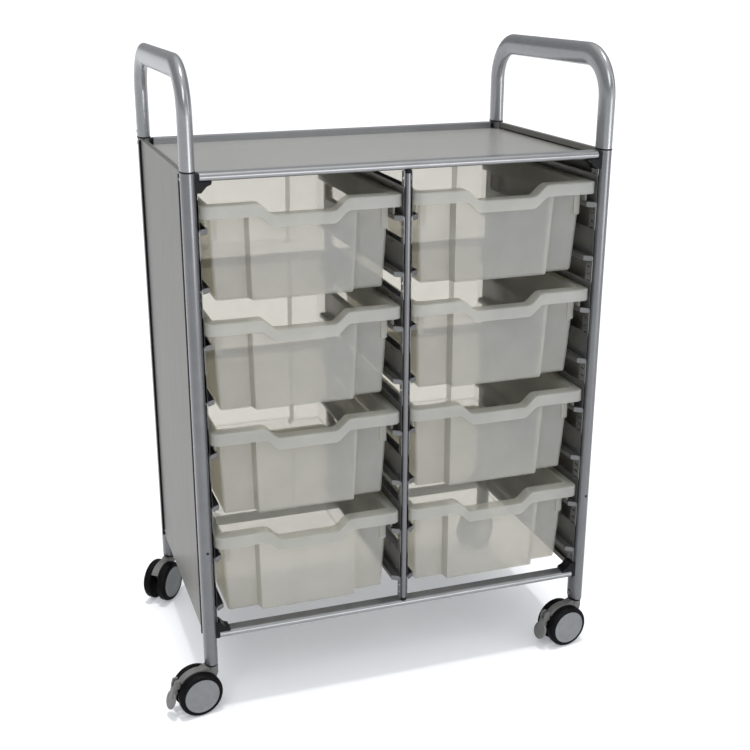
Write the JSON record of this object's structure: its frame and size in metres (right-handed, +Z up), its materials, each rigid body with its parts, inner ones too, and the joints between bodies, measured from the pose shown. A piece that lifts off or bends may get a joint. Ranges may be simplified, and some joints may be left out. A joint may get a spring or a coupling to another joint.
{
  "type": "book cart",
  "caption": "Oval-tube book cart on swivel casters, with end handles, side panels and columns of deep trays that slide out on runners.",
  "frame": {"origin": "on the floor, under the middle of the overall box", "axes": "+Z up, +Y from the open tray front towards the back, +X to the right as seen from the front"},
  "size_m": [0.7663, 0.4567, 1.047],
  "materials": {
    "frame_paint": "satin silver grey powder coat",
    "panel_paint": "satin light grey sheet",
    "runner_metal": "satin grey sheet",
    "tray_plastic": "translucent milky plastic",
    "black_plastic": "matt black",
    "grey_plastic": "satin mid grey",
    "axle_steel": "bright",
    "tyre": "smooth black"
  },
  "bodies": {
    "frame": {"post_front_left": "frame_paint", "post_front_right": "frame_paint", "post_rear_left": "frame_paint", "post_rear_right": "frame_paint", "handle_left": "frame_paint", "handle_right": "frame_paint", "rail_top_front": "frame_paint", "rail_top_rear": "frame_paint", "rail_bottom_front": "frame_paint", "rail_bottom_rear": "frame_paint", "centre_post_front": "frame_paint", "centre_post_rear": "frame_paint", "top_panel": "panel_paint", "side_panel_left": "panel_paint", "side_panel_right": "panel_paint", "runners_centre_left": "runner_metal", "runners_centre_right": "runner_metal", "runners_left": "runner_metal", "runners_right": "runner_metal", "bracket_top_front_left": "black_plastic", "bracket_top_front_right": "black_plastic", "bracket_top_rear_left": "black_plastic", "bracket_top_rear_right": "black_plastic", "bracket_bottom_front_left": "black_plastic", "bracket_bottom_front_right": "black_plastic", "bracket_bottom_rear_left": "black_plastic", "bracket_bottom_rear_right": "black_plastic", "caster_stem_front_left": "black_plastic", "caster_stem_front_right": "black_plastic", "caster_stem_rear_left": "black_plastic", "caster_stem_rear_right": "black_plastic"},
    "tray_left_1": {"tray_left_1": "tray_plastic"},
    "tray_left_2": {"tray_left_2": "tray_plastic"},
    "tray_left_3": {"tray_left_3": "tray_plastic"},
    "tray_left_4": {"tray_left_4": "tray_plastic"},
    "tray_right_1": {"tray_right_1": "tray_plastic"},
    "tray_right_2": {"tray_right_2": "tray_plastic"},
    "tray_right_3": {"tray_right_3": "tray_plastic"},
    "tray_right_4": {"tray_right_4": "tray_plastic"},
    "caster_front_left": {"caster_housing_front_left": "grey_plastic", "caster_axle_front_left": "axle_steel"},
    "wheel_front_left_a": {"caster_wheel_front_left_a": "tyre"},
    "wheel_front_left_b": {"caster_wheel_front_left_b": "tyre"},
    "pedal_front_left": {"brake_pedal_front_left": "grey_plastic"},
    "caster_front_right": {"caster_housing_front_right": "grey_plastic", "caster_axle_front_right": "axle_steel"},
    "wheel_front_right_a": {"caster_wheel_front_right_a": "tyre"},
    "wheel_front_right_b": {"caster_wheel_front_right_b": "tyre"},
    "pedal_front_right": {"brake_pedal_front_right": "grey_plastic"},
    "caster_rear_left": {"caster_housing_rear_left": "grey_plastic", "caster_axle_rear_left": "axle_steel"},
    "wheel_rear_left_a": {"caster_wheel_rear_left_a": "tyre"},
    "wheel_rear_left_b": {"caster_wheel_rear_left_b": "tyre"},
    "caster_rear_right": {"caster_housing_rear_right": "grey_plastic", "caster_axle_rear_right": "axle_steel"},
    "wheel_rear_right_a": {"caster_wheel_rear_right_a": "tyre"},
    "wheel_rear_right_b": {"caster_wheel_rear_right_b": "tyre"}
  },
  "joints": [
    {"name": "tray_left_1_slide", "type": "slide", "parent": "frame", "child": "tray_left_1", "axis": [0, -1, 0], "range_m": [0, 0.38]},
    {"name": "tray_left_2_slide", "type": "slide", "parent": "frame", "child": "tray_left_2", "axis": [0, -1, 0], "range_m": [0, 0.38]},
    {"name": "tray_left_3_slide", "type": "slide", "parent": "frame", "child": "tray_left_3", "axis": [0, -1, 0], "range_m": [0, 0.38]},
    {"name": "tray_left_4_slide", "type": "slide", "parent": "frame", "child": "tray_left_4", "axis": [0, -1, 0], "range_m": [0, 0.38]},
    {"name": "tray_right_1_slide", "type": "slide", "parent": "frame", "child": "tray_right_1", "axis": [0, -1, 0], "range_m": [0, 0.38]},
    {"name": "tray_right_2_slide", "type": "slide", "parent": "frame", "child": "tray_right_2", "axis": [0, -1, 0], "range_m": [0, 0.38]},
    {"name": "tray_right_3_slide", "type": "slide", "parent": "frame", "child": "tray_right_3", "axis": [0, -1, 0], "range_m": [0, 0.38]},
    {"name": "tray_right_4_slide", "type": "slide", "parent": "frame", "child": "tray_right_4", "axis": [0, -1, 0], "range_m": [0, 0.38]},
    {"name": "caster_front_left_swivel", "type": "hinge", "parent": "frame", "child": "caster_front_left", "pos_m": [-0.3044, -0.1951, 0.0795], "axis": [0, 0, 1], "continuous": true},
    {"name": "wheel_front_left_a_spin", "type": "hinge", "parent": "caster_front_left", "child": "wheel_front_left_a", "pos_m": [-0.32999, -0.19968, 0.0375], "axis": [0.1761, -0.9844, 0], "continuous": true},
    {"name": "wheel_front_left_b_spin", "type": "hinge", "parent": "caster_front_left", "child": "wheel_front_left_b", "pos_m": [-0.32999, -0.19968, 0.0375], "axis": [0.1761, -0.9844, 0], "continuous": true},
    {"name": "pedal_front_left_tilt", "type": "hinge", "parent": "caster_front_left", "child": "pedal_front_left", "pos_m": [-0.36346, -0.20566, 0.059], "axis": [-0.1761, 0.9844, 0], "range_deg": [0, 18]},
    {"name": "caster_front_right_swivel", "type": "hinge", "parent": "frame", "child": "caster_front_right", "pos_m": [0.3636, -0.1951, 0.0795], "axis": [0, 0, 1], "continuous": true},
    {"name": "wheel_front_right_a_spin", "type": "hinge", "parent": "caster_front_right", "child": "wheel_front_right_a", "pos_m": [0.33792, -0.19916, 0.0375], "axis": [0.156, -0.9878, 0], "continuous": true},
    {"name": "wheel_front_right_b_spin", "type": "hinge", "parent": "caster_front_right", "child": "wheel_front_right_b", "pos_m": [0.33792, -0.19916, 0.0375], "axis": [0.156, -0.9878, 0], "continuous": true},
    {"name": "pedal_front_right_tilt", "type": "hinge", "parent": "caster_front_right", "child": "pedal_front_right", "pos_m": [0.30433, -0.20446, 0.059], "axis": [-0.156, 0.9878, 0], "range_deg": [0, 18]},
    {"name": "caster_rear_left_swivel", "type": "hinge", "parent": "frame", "child": "caster_rear_left", "pos_m": [-0.3044, 0.2049, 0.0795], "axis": [0, 0, 1], "continuous": true},
    {"name": "wheel_rear_left_a_spin", "type": "hinge", "parent": "caster_rear_left", "child": "wheel_rear_left_a", "pos_m": [-0.32145, 0.18527, 0.0375], "axis": [0.7549, -0.6559, 0], "continuous": true},
    {"name": "wheel_rear_left_b_spin", "type": "hinge", "parent": "caster_rear_left", "child": "wheel_rear_left_b", "pos_m": [-0.32145, 0.18527, 0.0375], "axis": [0.7549, -0.6559, 0], "continuous": true},
    {"name": "caster_rear_right_swivel", "type": "hinge", "parent": "frame", "child": "caster_rear_right", "pos_m": [0.3636, 0.2049, 0.0795], "axis": [0, 0, 1], "continuous": true},
    {"name": "wheel_rear_right_a_spin", "type": "hinge", "parent": "caster_rear_right", "child": "wheel_rear_right_a", "pos_m": [0.34154, 0.19114, 0.0375], "axis": [0.5291, -0.8486, 0], "continuous": true},
    {"name": "wheel_rear_right_b_spin", "type": "hinge", "parent": "caster_rear_right", "child": "wheel_rear_right_b", "pos_m": [0.34154, 0.19114, 0.0375], "axis": [0.5291, -0.8486, 0], "continuous": true}
  ]
}
